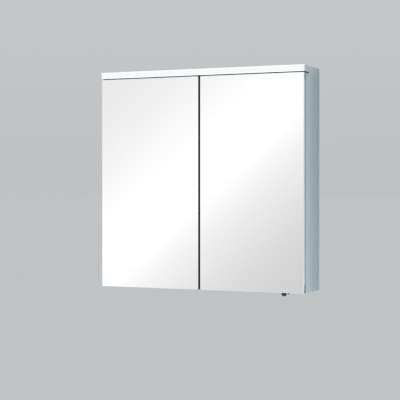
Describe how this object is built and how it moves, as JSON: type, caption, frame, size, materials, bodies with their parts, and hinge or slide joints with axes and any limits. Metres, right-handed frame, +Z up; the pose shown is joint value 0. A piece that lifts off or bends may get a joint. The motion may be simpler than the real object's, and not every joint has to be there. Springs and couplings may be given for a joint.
{
  "type": "mirror cabinet",
  "caption": "Wall-hung bathroom mirror cabinet with pivot-hinged double-mirror doors, glass shelves, a light head along the top and a push button under the right side.",
  "frame": {"origin": "on the wall plane, midway between the two screw holes of the wall rail, 615 mm above the cabinet underside", "axes": "+X to the user's right, +Y into the wall, +Z up; the mirror doors face -Y"},
  "size_m": [0.7, 0.15, 0.714],
  "materials": {
    "anodised_aluminium": "satin anodised, fine brushed grain along the length",
    "mirror_glass": "silvered float glass with ground edges",
    "opal_acrylic": "opal white, lit from inside",
    "clear_glass": "polished, faint green edge",
    "black_rubber": "matte",
    "clear_rubber": "soft, translucent",
    "black_plastic": "fine moulded grain",
    "smoked_lens": "glossy, dark translucent",
    "blackened_steel": "black oxide",
    "bright_steel": "zinc plated",
    "galvanised_steel": "galvanised sheet",
    "cast_zinc": "die-cast, satin",
    "white_plastic": "fine moulded grain",
    "composite_sheet": "aluminium composite sheet, satin grey",
    "honeycomb_board": "paper honeycomb board",
    "magnet_ceramic": "ground ceramic",
    "circuit_board": "white solder mask",
    "led_phosphor": "phosphor-coated"
  },
  "bodies": {
    "cabinet": {"back_mirror": "mirror_glass", "back_panel": "composite_sheet", "bottom_panel": "anodised_aluminium", "cable_grommet": "black_rubber", "catch_magnets": "magnet_ceramic", "corner_brackets": "galvanised_steel", "door_bumpers": "clear_rubber", "glass_shelf_lower": "clear_glass", "glass_shelf_middle": "clear_glass", "glass_shelf_upper": "clear_glass", "hanger_left": "galvanised_steel", "hanger_right": "galvanised_steel", "hanger_screws": "bright_steel", "hinge_arm_lower_left": "blackened_steel", "hinge_arm_lower_right": "blackened_steel", "hinge_arm_screws": "blackened_steel", "hinge_arm_upper_left": "blackened_steel", "hinge_arm_upper_right": "blackened_steel", "hinge_pins": "bright_steel", "led_board": "circuit_board", "led_chips": "led_phosphor", "led_driver": "white_plastic", "led_heat_sink": "anodised_aluminium", "light_diffuser": "opal_acrylic", "light_end_cap_left": "anodised_aluminium", "light_end_cap_right": "anodised_aluminium", "light_housing": "anodised_aluminium", "magnetic_catches": "white_plastic", "pilot_lens": "smoked_lens", "shelf_pins": "bright_steel", "side_panel_left": "anodised_aluminium", "side_panel_right": "anodised_aluminium", "side_screws": "bright_steel", "switch_bezel": "black_plastic", "switch_body": "black_plastic", "terminal_block": "white_plastic", "top_panel": "anodised_aluminium", "wall_rail": "galvanised_steel", "wall_spacers": "black_rubber"},
    "door_left": {"door_back_mirror_left": "mirror_glass", "door_core_left": "honeycomb_board", "door_edge_seal_left": "black_rubber", "door_frame_left": "anodised_aluminium", "door_front_mirror_left": "mirror_glass", "door_hinge_blocks_left": "cast_zinc", "door_hinge_bushes_left": "black_plastic", "door_strike_plate_left": "bright_steel"},
    "door_right": {"door_back_mirror_right": "mirror_glass", "door_core_right": "honeycomb_board", "door_edge_seal_right": "black_rubber", "door_frame_right": "anodised_aluminium", "door_front_mirror_right": "mirror_glass", "door_hinge_blocks_right": "cast_zinc", "door_hinge_bushes_right": "black_plastic", "door_strike_plate_right": "bright_steel"},
    "light_button": {"push_button": "black_plastic", "button_spring": "bright_steel"}
  },
  "joints": [
    {"name": "door_left_hinge", "type": "hinge", "parent": "cabinet", "child": "door_left", "pos_m": [-0.343, -0.14, -0.28], "axis": [0, 0, -1], "range_deg": [0, 105]},
    {"name": "door_right_hinge", "type": "hinge", "parent": "cabinet", "child": "door_right", "pos_m": [0.343, -0.14, -0.28], "axis": [0, 0, 1], "range_deg": [0, 105]},
    {"name": "light_button_press", "type": "slide", "parent": "cabinet", "child": "light_button", "axis": [0, 0, 1], "range_m": [0, 0.002], "stiffness_N_per_m": 400, "springref_m": -0.001}
  ]
}
